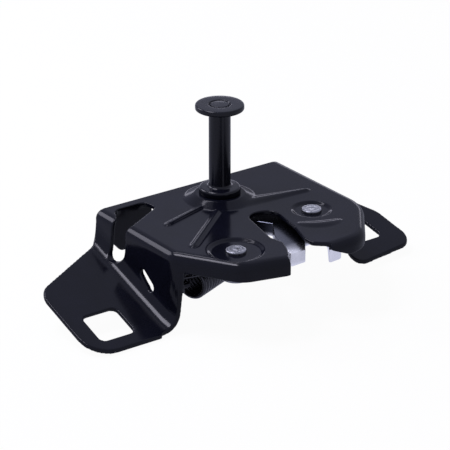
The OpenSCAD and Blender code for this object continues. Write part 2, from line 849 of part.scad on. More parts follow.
// Torsion spring round the pawl's pivot: a leg turned up against the pawl's arm and a leg on the wall
function torsion_path() =
    let (
        r = journal_r + run_fit + torsion_wire_r + 0.35,
        top = -torsion_wire_r - 0.05,
        low = top - torsion_turns * torsion_pitch,
        steps = torsion_turns * 16,
        hook_y = 15,
        hook_x = arm_edge(hook_y) - torsion_wire_r - 0.02,
        rise = thin_washer_t + side_gap + 0.7 * pawl_t,
        wall = [wall_face(wall_leg_y, pawl_stack + low) + torsion_wire_r, wall_leg_y] - pawl_at
    )
    concat(
        [[hook_x, hook_y, top + rise], [hook_x, hook_y, top + 0.8], [hook_x + 0.3, hook_y - 0.8, top]],
        [for (i = [0 : steps])
            let (a = 180 + 360 * i / 16)
            [r * cos(a), r * sin(a), top - torsion_pitch * i / 16]],
        [[wall.x / 2, (r + wall.y) / 2, low], concat(wall, [low])]
    );

module pawl_spring() color(dark_steel)
    translate([pawl_at.x, pawl_at.y, pawl_stack])
        wire(torsion_path(), torsion_wire_r, [1, 0, 0]);

frame_plate();
guide_pin();
claw_pivot();
pawl_pivot();
claw_upper_washer();
claw_lower_washer();
pawl_upper_washer();
pawl_lower_washer();
claw();
pawl();
spring_post();
claw_spring();
pawl_spring();
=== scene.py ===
"""Looks of a bonnet latch: a black electrocoated pressing, a zinc plated claw and dark springs."""

import logging
import math
from dataclasses import dataclass, field, replace
from enum import Enum

import bmesh
import bpy
from mathutils import Matrix, Vector
from mathutils.bvhtree import BVHTree
from mathutils.geometry import interpolate_bezier


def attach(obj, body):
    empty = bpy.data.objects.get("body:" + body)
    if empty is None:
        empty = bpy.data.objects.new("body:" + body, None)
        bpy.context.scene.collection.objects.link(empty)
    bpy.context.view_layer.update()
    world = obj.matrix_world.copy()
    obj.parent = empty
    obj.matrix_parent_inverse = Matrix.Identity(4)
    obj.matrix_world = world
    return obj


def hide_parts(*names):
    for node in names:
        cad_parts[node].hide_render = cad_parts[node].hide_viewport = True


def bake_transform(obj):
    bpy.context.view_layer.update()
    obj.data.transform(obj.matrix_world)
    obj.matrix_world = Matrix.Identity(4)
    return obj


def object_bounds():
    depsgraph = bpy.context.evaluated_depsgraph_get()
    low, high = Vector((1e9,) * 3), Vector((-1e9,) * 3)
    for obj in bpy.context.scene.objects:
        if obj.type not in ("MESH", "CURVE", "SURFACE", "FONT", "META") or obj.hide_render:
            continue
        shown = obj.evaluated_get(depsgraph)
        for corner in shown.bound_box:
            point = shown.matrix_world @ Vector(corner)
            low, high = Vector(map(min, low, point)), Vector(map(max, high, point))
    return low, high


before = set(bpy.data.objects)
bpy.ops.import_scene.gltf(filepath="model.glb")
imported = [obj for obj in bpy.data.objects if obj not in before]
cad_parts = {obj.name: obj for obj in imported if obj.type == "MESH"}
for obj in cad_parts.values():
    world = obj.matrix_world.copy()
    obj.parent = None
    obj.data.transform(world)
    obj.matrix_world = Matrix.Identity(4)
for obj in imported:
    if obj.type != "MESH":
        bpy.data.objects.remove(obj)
CAD_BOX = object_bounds()

MM = 0.001
LOG = logging.getLogger("bonnet_latch")
WHITE = "#ffffff"
# Corners of a solid that are closer than this are one corner.
WELD_MM = 0.002
# Points of a turned shape that are closer than this are one point.
NEAR_MM = 0.001
# The bevel profile that is part of a circle.
ROUND_PROFILE = 0.5
# The axes of the two pivots and of the spring's post, in millimetres.
CLAW_AT = (24.2, -33.3)
PAWL_AT = (-27.1, -48.8)
POST_AT = (5.6214, -16.5717)

Triple = tuple[float, float, float]


class Body(Enum):
    """The bodies that the pieces ride on."""

    FRAME = "frame"
    CLAW = "claw"
    PAWL = "pawl"


class Slot(Enum):
    """The record's material slots."""

    COAT = "black_coat"
    ZINC = "zinc"
    STEEL = "dark_steel"


def linear(code: str) -> tuple[float, float, float, float]:
    """Turns an sRGB hex colour into linear RGBA.

    Args:
        code: The colour as #rrggbb.

    Returns:
        Linear red, green and blue, and an alpha of 1.
    """
    channels = [int(code[i : i + 2], 16) / 255 for i in (1, 3, 5)]
    red, green, blue = (
        c / 12.92 if c <= 0.04045 else ((c + 0.055) / 1.055) ** 2.4 for c in channels
    )
    return red, green, blue, 1.0


def add_node(
    tree: bpy.types.NodeTree,
    kind: str,
    settings: dict | None = None,
    links: dict | None = None,
) -> bpy.types.Node:
    """Adds a shader node with its settings and links.

    Args:
        tree: The node tree that takes the node.
        kind: The node's type name.
        settings: Input values by socket name, or properties by name.
        links: Output sockets by the name or the number of the input that they feed.

    Returns:
        The new node.
    """
    node = tree.nodes.new(kind)
    for name, value in (settings or {}).items():
        if name in node.inputs:
            node.inputs[name].default_value = value
        else:
            setattr(node, name, value)
    for name, socket in (links or {}).items():
        tree.links.new(socket, node.inputs[name])
    return node


def per_metre(size_mm: float) -> float:
    """Scale of a pattern whose features are this many millimetres across."""
    return 1.0 / (size_mm * MM)


@dataclass(frozen=True)
class Finish:
    """A finish on steel with a colour, a gloss and a relief that vary over the surface."""

    name: str
    dark: str
    light: str
    metallic: float
    roughness: tuple[float, float]
    cloud_mm: float
    grain_mm: float
    relief_mm: float
    specular: float = 0.5
    coat: float = 0.0
    coat_roughness: float = 0.1
    # Colour of painted shade, where it fades in along y and z, and its ragged edge.
    painted_shade: str | None = None
    shade_fade_y_mm: tuple[float, float] = (0.0, 0.0)
    shade_fade_z_mm: tuple[float, float] = (0.0, 0.0)
    shade_edge_mm: float = 6.0
    shade_edge_reach_mm: float = 5.0
    colour_span: tuple[float, float] = (0.36, 0.66)
    gloss_span: tuple[float, float] = (0.3, 0.7)

    def add_painted_shade(
        self, tree: bpy.types.NodeTree, colour: bpy.types.NodeSocket, place: bpy.types.NodeSocket
    ) -> bpy.types.NodeSocket:
        """Darkens the colour with painted shade, standing in for the plate's shadow, that fades out
        towards the front and the underside.

        Args:
            tree: The material's node tree.
            colour: The unshaded colour.
            place: Object coordinates.

        Returns:
            The colour with the painted shade on it.
        """
        axes = add_node(tree, "ShaderNodeSeparateXYZ", links={"Vector": place}).outputs
        shade_edge_noise = add_node(
            tree,
            "ShaderNodeTexNoise",
            {"Scale": per_metre(self.shade_edge_mm), "Detail": 3.0},
            {"Vector": place},
        ).outputs["Fac"]
        shifted = add_node(
            tree,
            "ShaderNodeMath",
            {"operation": "MULTIPLY_ADD"},
            {0: shade_edge_noise, 2: axes["Y"]},
        )
        shifted.inputs[1].default_value = self.shade_edge_reach_mm * MM
        spreads = [
            add_node(
                tree,
                "ShaderNodeMapRange",
                {
                    "interpolation_type": "SMOOTHSTEP",
                    "From Min": shade_none_at * MM,
                    "From Max": thick * MM,
                },
                {"Value": along},
            ).outputs["Result"]
            for along, (shade_none_at, thick) in (
                (shifted.outputs[0], self.shade_fade_y_mm),
                (axes["Z"], self.shade_fade_z_mm),
            )
        ]
        # The share of painted shade: full on the claw's top towards the back, under the plate.
        shade_share = add_node(
            tree,
            "ShaderNodeMath",
            {"operation": "MULTIPLY"},
            {0: spreads[0], 1: spreads[1]},
        ).outputs[0]
        return add_node(
            tree,
            "ShaderNodeMixRGB",
            {"Color2": linear(self.painted_shade)},
            {"Fac": shade_share, "Color1": colour},
        ).outputs["Color"]

    def material(self) -> bpy.types.Material:
        """Builds the finish's node material.

        Returns:
            The material, on Object coordinates.
        """
        made = bpy.data.materials.new(self.name)
        made.use_nodes = True
        tree = made.node_tree
        tree.nodes.clear()
        place = add_node(tree, "ShaderNodeTexCoord").outputs["Object"]
        clouds = add_node(
            tree,
            "ShaderNodeTexNoise",
            {"Scale": per_metre(self.cloud_mm), "Detail": 4.0, "Roughness": 0.6},
            {"Vector": place},
        ).outputs["Fac"]
        grain = add_node(
            tree,
            "ShaderNodeTexNoise",
            {"Scale": per_metre(self.grain_mm), "Detail": 2.0, "Roughness": 0.5},
            {"Vector": place},
        ).outputs["Fac"]
        colour = add_node(tree, "ShaderNodeValToRGB", links={"Fac": clouds})
        low, high = colour.color_ramp.elements
        low.position, high.position = self.colour_span
        low.color, high.color = linear(self.dark), linear(self.light)
        tint = colour.outputs["Color"]
        # Painted shade: the top of the claw darkens towards the back, under the plate.
        if self.painted_shade:
            tint = self.add_painted_shade(tree, tint, place)
        gloss = add_node(
            tree,
            "ShaderNodeMapRange",
            {
                "From Min": self.gloss_span[0],
                "From Max": self.gloss_span[1],
                "To Min": self.roughness[0],
                "To Max": self.roughness[1],
            },
            {"Value": clouds},
        ).outputs["Result"]
        bump = add_node(
            tree,
            "ShaderNodeBump",
            {"Strength": 1.0, "Distance": self.relief_mm * MM},
            {"Height": grain},
        ).outputs["Normal"]
        shader = add_node(
            tree,
            "ShaderNodeBsdfPrincipled",
            {
                "Metallic": self.metallic,
                "Specular IOR Level": self.specular,
                "Coat Weight": self.coat,
                "Coat Roughness": self.coat_roughness,
            },
            {
                "Base Color": tint,
                "Roughness": gloss,
                "Normal": bump,
            },
        )
        add_node(tree, "ShaderNodeOutputMaterial", links={"Surface": shader.outputs[0]})
        return made


# Electrocoat on pressed steel: a thin, even, blue-black film under a smooth skin, so the flats stay
# dark and the bends carry clean, sharp-edged lights.
ELECTROCOAT = Finish(
    "black_electrocoat",
    "#0a0b13",
    "#0e0f19",
    metallic=0.0,
    roughness=(0.4, 0.5),
    cloud_mm=16.0,
    grain_mm=2.4,
    relief_mm=0.002,
    specular=0.0,
    coat=0.275,
    coat_roughness=0.14,
)
# The same coat on the turned pin, whose finer surface gives it a little more shine.
PIN_COAT = replace(ELECTROCOAT, name="black_electrocoat_turned", coat=0.42)
# Zinc plate on blanked steel: a pale silver, faintly mottled where the bath left it duller, with
# painted shade on top from the pivot to the middle of the prongs, where the plate covers it.
ZINC_PLATE = Finish(
    "zinc_plate",
    "#dedddd",
    "#efeeed",
    metallic=1.0,
    roughness=(0.18, 0.3),
    cloud_mm=9.0,
    grain_mm=0.8,
    relief_mm=0.002,
    painted_shade="#3e4048",
    shade_fade_y_mm=(-60.0, -46.0),
    shade_fade_z_mm=(-10.0, -8.0),
)
# Headed rivet steel: a duller grey than the claw's plate, as the peening flattened it.
RIVET_STEEL = Finish(
    "peened_rivet_steel",
    "#6c6d71",
    "#7e7f83",
    metallic=1.0,
    roughness=(0.24, 0.34),
    cloud_mm=3.0,
    grain_mm=0.5,
    relief_mm=0.003,
)
# Oiled spring wire and a hardened pawl: almost black, with the sheen of drawn steel.
OILED_STEEL = Finish(
    "oiled_spring_steel",
    "#29292c",
    "#3a3a3e",
    metallic=0.85,
    roughness=(0.24, 0.36),
    cloud_mm=5.0,
    grain_mm=0.9,
    relief_mm=0.002,
)


def shade(mesh: bpy.types.Mesh, sharp_deg: float) -> None:
    """Smooths a mesh, apart from edges that turn more sharply than an angle.

    Args:
        mesh: The mesh to shade.
        sharp_deg: The angle in degrees.
    """
    mesh.shade_smooth()
    mesh.set_sharp_from_angle(angle=math.radians(sharp_deg))


def add_piece(
    name: str,
    bm: bmesh.types.BMesh,
    material: bpy.types.Material,
    sharp_deg: float = 40.0,
) -> bpy.types.Object:
    """Turns a bmesh into a shaded piece of the scene.

    Args:
        name: The piece's name.
        bm: The shape, which is freed.
        material: The piece's material.
        sharp_deg: Edges that turn more than this stay sharp.

    Returns:
        The new object, at the origin.
    """
    mesh = bpy.data.meshes.new(name)
    bm.to_mesh(mesh)
    bm.free()
    mesh.materials.append(material)
    shade(mesh, sharp_deg)
    piece = bpy.data.objects.new(name, mesh)
    bpy.context.scene.collection.objects.link(piece)
    return piece


@dataclass
class Piece:
    """A piece of the latch that stands for one node of the frame."""

    node: str
    body: Body
    slot: Slot

    def shape(self) -> bmesh.types.BMesh:
        """Models the piece in metres."""
        raise NotImplementedError

    def dress(self, material: bpy.types.Material) -> bpy.types.Object:
        """Turns the shape into a piece with its material.

        Args:
            material: The piece's material.

        Returns:
            The piece, at the origin.
        """
        return add_piece(f"{self.node}_dressed", self.shape(), material)

    def attach(self, piece: bpy.types.Object) -> None:
        """Lets the piece ride on its body."""
        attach(piece, self.body.value)

    def build(self, material: bpy.types.Material) -> bpy.types.Object:
        """Makes the piece and lets it stand for its node.

        Args:
            material: The piece's material.

        Returns:
            The finished piece.
        """
        piece = self.dress(material)
        self.attach(piece)
        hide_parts(self.node)
        return piece


@dataclass
class SoftenedPiece(Piece):
    """A pressed or blanked piece: the node's solid with its cut edges rounded over."""

    edge_mm: float = 0.3
    round_deg: float = 38.0
    sharp_deg: float = 24.0
    flat_deg: float = 0.6
    steps: int = 3
    stray_share: float = 0.5

    def shape(self) -> bmesh.types.BMesh:
        """Rounds the cut edges of a copy of the node.

        Returns:
            The rounded shape.
        """
        bm = bmesh.new()
        bm.from_mesh(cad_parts[self.node].data)
        bmesh.ops.remove_doubles(bm, verts=bm.verts, dist=WELD_MM * MM)
        bmesh.ops.dissolve_limit(
            bm,
            angle_limit=math.radians(self.flat_deg),
            verts=bm.verts,
            edges=bm.edges,
        )
        solid = BVHTree.FromBMesh(bm)
        limit = math.radians(self.round_deg)
        cut = [e for e in bm.edges if e.is_manifold and e.calc_face_angle() > limit]
        bmesh.ops.bevel(
            bm,
            geom=cut,
            offset=self.edge_mm * MM,
            offset_type="OFFSET",
            segments=self.steps,
            profile=ROUND_PROFILE,
            affect="EDGES",
            material=-1,
            clamp_overlap=False,
        )
        # A short edge can throw a corner of the round past the solid, so it's laid back on it.
        for corner in bm.verts:
            nearest, _, _, away = solid.find_nearest(corner.co)
            if away > self.stray_share * self.edge_mm * MM:
                corner.co = nearest
        return bm

    def dress(self, material: bpy.types.Material) -> bpy.types.Object:
        """Shades the piece so that its flats stay flat up to their rounded edges.

        Args:
            material: The piece's material.

        Returns:
            The piece, at the origin.
        """
        piece = add_piece(f"{self.node}_softened", self.shape(), material, self.sharp_deg)
        weigh = piece.modifiers.new("weighted_normals", "WEIGHTED_NORMAL")
        weigh.keep_sharp = True
        return piece


@dataclass
class PressedSheet(Piece):
    """The pressed frame: the node's solid on an even mesh, relaxed so that its bends flow."""

    mesh_mm: float = 0.3
    passes: int = 18
    kept: float = 0.27
    sharp_deg: float = 80.0

    def shape(self) -> bmesh.types.BMesh:
        """Lays an even mesh over a copy of the node and relaxes it.

        Returns:
            The relaxed shape.
        """
        bm = bmesh.new()
        bm.from_mesh(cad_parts[self.node].data)
        bmesh.ops.remove_doubles(bm, verts=bm.verts, dist=WELD_MM * MM)
        mesh = bpy.data.meshes.new("sheet_blank")
        bm.to_mesh(mesh)
        bm.free()
        blank = bpy.data.objects.new("sheet_blank", mesh)
        bpy.context.scene.collection.objects.link(blank)
        even = blank.modifiers.new("even_mesh", "REMESH")
        even.mode = "VOXEL"
        even.voxel_size = self.mesh_mm * MM
        relax = blank.modifiers.new("relax", "SMOOTH")
        relax.iterations = self.passes
        thin = blank.modifiers.new("thin_flats", "DECIMATE")
        thin.ratio = self.kept
        bpy.context.view_layer.update()
        laid = blank.evaluated_get(bpy.context.evaluated_depsgraph_get())
        bm = bmesh.new()
        bm.from_mesh(laid.to_mesh())
        bpy.data.objects.remove(blank)
        bmesh.ops.recalc_face_normals(bm, faces=bm.faces)
        return bm

    def dress(self, material: bpy.types.Material) -> bpy.types.Object:
        """Shades the sheet smoothly.

        Args:
            material: The sheet's material.

        Returns:
            The piece, at the origin.
        """
        return add_piece(f"{self.node}_pressed", self.shape(), material, self.sharp_deg)


@dataclass
class TurnedPiece(Piece):
    """A lathe-turned or headed piece, spun from corners of radius, height and rounding."""

    centre_mm: tuple[float, float] = (0.0, 0.0)
    corners_mm: tuple[Triple, ...] = ()
    ring: bool = False
    steps: int = 96
    corner_steps: int = 4

    def shape(self) -> bmesh.types.BMesh:
        """Spins the corners round the axis and rounds them.

        Returns:
            The turned shape.
        """
        bm = bmesh.new()
        points = [bm.verts.new((r * MM, 0.0, z * MM)) for r, z, _ in self.corners_mm]
        pairs = list(zip(points, points[1:]))
        if self.ring:
            pairs.append((points[-1], points[0]))
        line = [bm.edges.new(pair) for pair in pairs]
        bmesh.ops.spin(
            bm,
            geom=points + line,
            cent=(0.0, 0.0, 0.0),
            axis=(0.0, 0.0, 1.0),
            angle=math.tau,
            steps=self.steps,
            use_merge=True,
        )
        bmesh.ops.remove_doubles(bm, verts=bm.verts, dist=NEAR_MM * MM)
        bmesh.ops.recalc_face_normals(bm, faces=bm.faces)
        for r, z, rounding in self.corners_mm:
            if rounding > 0.0:
                self.round_corner(bm, r * MM, z * MM, rounding * MM)
        x, y = self.centre_mm
        bmesh.ops.translate(bm, verts=bm.verts, vec=(x * MM, y * MM, 0.0))
        return bm

    def round_corner(self, bm: bmesh.types.BMesh, r: float, z: float, rounding: float) -> None:
        """Rounds the ring of edges at one corner.

        Args:
            bm: The spun shape.
            r: The corner's radius.
            z: The corner's height.
            rounding: The radius of the rounding.
        """
        near = NEAR_MM * MM

        def on_corner(vert: bmesh.types.BMVert) -> bool:
            """Whether a vertex is on the ring."""
            return abs(vert.co.xy.length - r) < near and abs(vert.co.z - z) < near

        bmesh.ops.bevel(
            bm,
            geom=[e for e in bm.edges if all(on_corner(v) for v in e.verts)],
            offset=rounding,
            offset_type="OFFSET",
            segments=self.corner_steps,
            profile=ROUND_PROFILE,
            affect="EDGES",
            material=-1,
        )


@dataclass
class WirePiece(Piece):
    """A wound piece of round wire that bends between the frame and a lever."""

    wire_radius_mm: float = 1.0
    lever: Body = Body.CLAW
    sides: int = 12
    knots_between: int = 3

    def path_mm(self) -> list[Vector]:
        """The knots that the wire's middle passes."""
        raise NotImplementedError

    def bend_mm(self) -> tuple[Vector, Vector]:
        """Where the wire stops following the frame, and where it starts following the lever."""
        raise NotImplementedError

    def smooth_path(self) -> list[Vector]:
        """Joins the knots with a smooth curve.

        Returns:
            Points in metres.
        """
        knots = [knot * MM for knot in self.path_mm()]
        ends = [knots[0] * 2 - knots[1], *knots, knots[-1] * 2 - knots[-2]]
        points = [knots[0]]
        # Handles of a sixth of the chord between a knot's neighbours make a Catmull-Rom curve.
        for before, start, stop, after in zip(ends, ends[1:], ends[2:], ends[3:]):
            leave = start + (stop - before) / 6
            arrive = stop - (after - start) / 6
            run = interpolate_bezier(start, leave, arrive, stop, self.knots_between + 1)
            points.extend(run[1:])
        return points

    def shape(self) -> bmesh.types.BMesh:
        """Draws a round section along the path.

        Returns:
            The wire, closed at both ends.
        """
        points = self.smooth_path()
        heads = [
            (b - a).normalized()
            for a, b in zip([points[0], *points[:-1]], [*points[1:], points[-1]])
        ]
        bm = bmesh.new()
        turn = heads[0].to_track_quat("Z", "Y").to_matrix().to_4x4()
        bmesh.ops.create_circle(
            bm,
            cap_ends=True,
            segments=self.sides,
            radius=self.wire_radius_mm * MM,
            matrix=Matrix.Translation(points[0]) @ turn,
        )
        rim = list(bm.edges)
        for at, to, head, turned in zip(points, points[1:], heads, heads[1:]):
            made = bmesh.ops.extrude_edge_only(bm, edges=rim)["geom"]
            moved = [part for part in made if isinstance(part, bmesh.types.BMVert)]
            edges = [part for part in made if isinstance(part, bmesh.types.BMEdge)]
            rim = [edge for edge in edges if all(vert in moved for vert in edge.verts)]
            swing = head.rotation_difference(turned).to_matrix().to_4x4()
            step = Matrix.Translation(to) @ swing @ Matrix.Translation(-at)
            bmesh.ops.transform(bm, matrix=step, verts=moved)
        bmesh.ops.contextual_create(bm, geom=rim)
        bmesh.ops.recalc_face_normals(bm, faces=bm.faces)
        return bm

    def attach(self, piece: bpy.types.Object) -> None:
        """Bakes the wire's placement into its mesh."""
        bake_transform(piece)


@dataclass
class TensionSpring(WirePiece):
    """The close-wound spring from the tab on the wall to the claw's post."""

    tab_mm: Triple = (-46.6, -38.0, -17.6)
    post_mm: tuple[float, float] = POST_AT
    coil_mm: float = 5.5
    first_turn: float = 0.25
    turns: float = 13.25
    pitch_mm: float = 2.2
    coil_start_mm: float = 7.0
    hook_mm: float = 3.02
    hook_deg: range = range(-90, 106, 15)
    per_turn: int = 14
    bend_past_coil_mm: float = 0.5
    bend_before_post_mm: float = 1.5

    def run(self) -> Vector:
        """From the tab to the post, level."""
        return Vector((self.post_mm[0] - self.tab_mm[0], self.post_mm[1] - self.tab_mm[1], 0.0))

    def coil_end_mm(self) -> float:
        """How far along the axis the coil ends."""
        return self.coil_start_mm + self.turns * self.pitch_mm

    def place(self, points: list[Triple]) -> list[Vector]:
        """Turns points along the spring's own axis into the latch's frame.

        Args:
            points: Along the axis, across it and up, in millimetres.

        Returns:
            The points in the latch's frame.
        """
        ahead = self.run().normalized()
        across = Vector((-ahead.y, ahead.x, 0.0))
        up = Vector((0.0, 0.0, 1.0))
        return [Vector(self.tab_mm) + x * ahead + y * across + z * up for x, y, z in points]

    def path_mm(self) -> list[Vector]:
        """The hook in the tab, the coil and the hook round the post.

        Returns:
            The wire's knots.
        """
        coil, hook, end = self.coil_mm, self.hook_mm, self.coil_end_mm()
        # The hook rises through the tab and leans over to the top of the coil.
        points = [
            (0.0, 0.0, -0.6),
            (0.0, 0.0, 1.4),
            (0.0, 0.0, 4.6),
            (0.5, 0.0, 6.4),
            (1.9, 0.0, 7.5),
            (3.6, 0.0, 7.4),
            (5.2, 0.0, 6.4),
        ]
        for i in range(round(self.turns * self.per_turn) + 1):
            a = math.tau * (self.first_turn + i / self.per_turn)
            along = self.coil_start_mm + self.pitch_mm * i / self.per_turn
            points.append((along, -coil * math.cos(a), coil * math.sin(a)))
        # The leg swings in from the side of the coil to the side of the post.
        points += [
            (end + 2.0, 0.9 - coil, -2.2),
            (end + 4.6, -hook - 0.6, -2.2),
            (end + 7.5, -hook, -1.2),
            (end + 10.5, -hook, 0.0),
        ]
        for degrees in self.hook_deg:
            a = math.radians(degrees)
            points.append((self.run().length + hook * math.cos(a), hook * math.sin(a), 0.0))
        return self.place(points)

    def bend_mm(self) -> tuple[Vector, Vector]:
        """Along the straight leg from the coil to the post's hook.

        Returns:
            The first and the last point of the bend.
        """
        start = self.coil_end_mm() + self.bend_past_coil_mm
        stop = self.run().length - self.bend_before_post_mm
        first, last = self.place([(start, 0.0, 0.0), (stop, 0.0, 0.0)])
        return first, last


@dataclass
class TorsionSpring(WirePiece):
    """The small spring round the pawl's pivot, from the wall to the pawl's arm."""

    pivot_mm: Triple = (*PAWL_AT, -8.3)
    coil_mm: float = 4.9
    first_turn: float = 0.5
    turns: float = 1.75
    pitch_mm: float = 1.15
    top_mm: float = -0.55
    hook_mm: tuple[float, float] = (-7.52, 15.0)
    rise_mm: float = 3.12
    elbow_mm: Triple = (0.3, -0.8, 0.8)
    wall_mm: tuple[float, float] = (-20.43, 9.2)
    bend_from_mm: Triple = (-5.0, 2.0, 0.0)
    bend_to_mm: Triple = (-7.0, 13.0, 0.0)
    per_turn: int = 16

    def path_mm(self) -> list[Vector]:
        """The leg turned up beside the arm, the turns and the leg on the wall.

        Returns:
            The wire's knots.
        """
        x, y = self.hook_mm
        over, back, rise = self.elbow_mm
        top, coil = self.top_mm, self.coil_mm
        low = top - self.turns * self.pitch_mm
        points = [
            (x, y, top + self.rise_mm),
            (x, y, top + rise),
            (x + over, y + back, top),
        ]
        for i in range(round(self.turns * self.per_turn) + 1):
            a = math.tau * (self.first_turn + i / self.per_turn)
            drop = self.pitch_mm * i / self.per_turn
            points.append((coil * math.cos(a), coil * math.sin(a), top - drop))
        wall_x, wall_y = self.wall_mm
        points += [(wall_x / 2, (coil + wall_y) / 2, low), (wall_x, wall_y, low)]
        return [Vector(self.pivot_mm) + Vector(point) for point in points]

    def bend_mm(self) -> tuple[Vector, Vector]:
        """Along the leg that lies against the pawl's arm.

        Returns:
            The first and the last point of the bend.
        """
        pivot = Vector(self.pivot_mm)
        return pivot + Vector(self.bend_from_mm), pivot + Vector(self.bend_to_mm)


@dataclass(frozen=True)
class Rivet:
    """The sizes that the two stepped rivets and their washers share, in millimetres."""

    head_r: float = 4.3
    head_top: float = 0.3
    dish: float = -1.0
    shank_r: float = 2.97
    journal_r: float = 4.0
    under: float = -3.0
    foot_r: float = 6.2
    foot_t: float = 1.0
    washer_r: float = 7.6
    bore_r: float = 4.05
    groove_r: Triple = (2.9, 2.7, 2.5)
    groove_t: float = 0.07
    dimple_r: tuple[float, float] = (1.1, 0.8)
    dimple_t: float = 0.1
    foot_round: float = 0.3
    shoulder_round: float = 0.2
    head_round: float = 0.55
    washer_round: float = 0.15
    bore_round: float = 0.08

    def corners(self, stack: float) -> tuple[Triple, ...]:
        """Corners of a rivet whose journal ends at a height.

        Args:
            stack: The height of the journal's end.

        Returns:
            Radius, height and rounding of each corner, from the foot to the head.
        """
        foot = stack - self.foot_t
        outer, middle, inner = self.groove_r
        rim, floor = self.dimple_r
        return (
            (0.0, foot, 0.0),
            (self.foot_r, foot, self.foot_round),
            (self.foot_r, stack, self.shoulder_round),
            (self.journal_r, stack, 0.0),
            (self.journal_r, self.under, 0.0),
            (self.shank_r, self.under, 0.0),
            (self.shank_r, self.dish, 0.0),
            (self.head_r, self.dish, 0.0),
            (self.head_r, self.head_top, self.head_round),
            (outer, self.head_top, 0.0),
            (middle, self.head_top - self.groove_t, 0.0),
            (inner, self.head_top, 0.0),
            (rim, self.head_top, 0.0),
            (floor, self.head_top - self.dimple_t, 0.0),
            (0.0, self.head_top - self.dimple_t, 0.0),
        )

    def washer(self, top: float, thickness: float) -> tuple[Triple, ...]:
        """Corners of a washer below a height.

        Args:
            top: The height of its upper face.
            thickness: Its thickness.

        Returns:
            Radius, height and rounding of each corner.
        """
        low = top - thickness
        return (
            (self.bore_r, low, self.bore_round),
            (self.washer_r, low, self.washer_round),
            (self.washer_r, top, self.washer_round),
            (self.bore_r, top, self.bore_round),
        )


# Radius, height and rounding of the guide pin's corners: its foot, the boss's bore, the collar, the
# shank, and the head with a ring groove in its top.
GUIDE_PIN_MM = (
    (0.0, -1.1, 0.0),
    (6.5, -1.1, 0.5),
    (6.5, 0.5, 0.0),
    (3.97, 0.5, 0.0),
    (3.97, 2.5, 0.0),
    (9.0, 2.5, 0.35),
    (9.0, 5.5, 1.0),
    (4.7, 5.5, 1.2),
    (4.7, 40.6, 0.5),
    (10.5, 40.6, 0.6),
    (10.5, 43.0, 0.7),
    (4.9, 43.0, 0.2),
    (4.5, 42.3, 0.0),
    (4.1, 42.3, 0.0),
    (3.9, 42.9, 0.15),
    (0.0, 42.9, 0.0),
)
# The same for the spring's post: its head, the neck that takes the hook, the shoulder under the
# claw and the end in the claw's bore.
SPRING_POST_MM = (
    (0.0, -20.4, 0.0),
    (3.4, -20.4, 0.3),
    (3.4, -19.2, 0.2),
    (1.97, -19.2, 0.0),
    (1.97, -11.1, 0.0),
    (3.2, -11.1, 0.2),
    (3.2, -10.1, 0.0),
    (1.97, -10.1, 0.0),
    (1.97, -4.1, 0.2),
    (0.0, -4.1, 0.0),
)


@dataclass
class Latch:
    """The whole latch: the pressing, its pin and rivets, the two levers and their springs."""

    rivet: Rivet = field(default_factory=Rivet)
    claw_stack_mm: float = -11.2
    pawl_stack_mm: float = -11.6125
    under_claw_mm: float = -10.2
    under_pawl_mm: float = -7.8
    washer_mm: float = 1.0
    thin_washer_mm: float = 0.5

    def pressing(self) -> list[Piece]:
        """The pressed frame and the guide pin.

        Returns:
            The pieces that are electrocoated together.
        """
        return [
            PressedSheet("frame_plate", Body.FRAME, Slot.COAT),
            TurnedPiece("guide_pin", Body.FRAME, Slot.COAT, corners_mm=GUIDE_PIN_MM),
        ]

    def rivets(self) -> list[Piece]:
        """The stepped rivets and their washers.

        Returns:
            The turned pieces on both pivots.
        """
        rivet, thick, thin = self.rivet, self.washer_mm, self.thin_washer_mm
        shapes = {
            "claw_pivot": (CLAW_AT, rivet.corners(self.claw_stack_mm), False),
            "pawl_pivot": (PAWL_AT, rivet.corners(self.pawl_stack_mm), False),
            "claw_upper_washer": (CLAW_AT, rivet.washer(rivet.under, thick), True),
            "claw_lower_washer": (CLAW_AT, rivet.washer(self.under_claw_mm, thick), True),
            "pawl_upper_washer": (PAWL_AT, rivet.washer(rivet.under, thick), True),
            "pawl_lower_washer": (PAWL_AT, rivet.washer(self.under_pawl_mm, thin), True),
        }
        return [
            TurnedPiece(node, Body.FRAME, Slot.ZINC, centre_mm=at, corners_mm=corners, ring=ring)
            for node, (at, corners, ring) in shapes.items()
        ]

    def levers(self) -> list[Piece]:
        """The claw with its spring post, and the pawl.

        Returns:
            The pieces that turn.
        """
        return [
            SoftenedPiece("claw", Body.CLAW, Slot.ZINC, edge_mm=0.4),
            TurnedPiece(
                "spring_post", Body.CLAW, Slot.ZINC, centre_mm=POST_AT, corners_mm=SPRING_POST_MM
            ),
            SoftenedPiece("pawl", Body.PAWL, Slot.STEEL, edge_mm=0.3),
        ]

    def springs(self) -> list[Piece]:
        """The two wire springs.

        Returns:
            The pieces that bend.
        """
        return [
            TensionSpring(
                "claw_spring", Body.FRAME, Slot.STEEL, wire_radius_mm=1.0, lever=Body.CLAW
            ),
            TorsionSpring(
                "pawl_spring", Body.FRAME, Slot.STEEL, wire_radius_mm=0.5, lever=Body.PAWL
            ),
        ]

    def build(self) -> None:
        """Makes every piece and reports it."""
        coat = ELECTROCOAT.material()
        shiny = PIN_COAT.material()
        zinc = ZINC_PLATE.material()
        dull = RIVET_STEEL.material()
        dark = OILED_STEEL.material()
        claw, post, pawl = self.levers()
        sheet, pin = self.pressing()
        dressed = [(sheet, coat), (pin, shiny)]
        dressed += [(piece, dull) for piece in [*self.rivets(), post]]
        dressed += [(claw, zinc)]
        dressed += [(piece, dark) for piece in [pawl, *self.springs()]]
        for piece, material in dressed:
            made = piece.build(material)
            LOG.info("%s has %d faces", made.name, len(made.data.polygons))


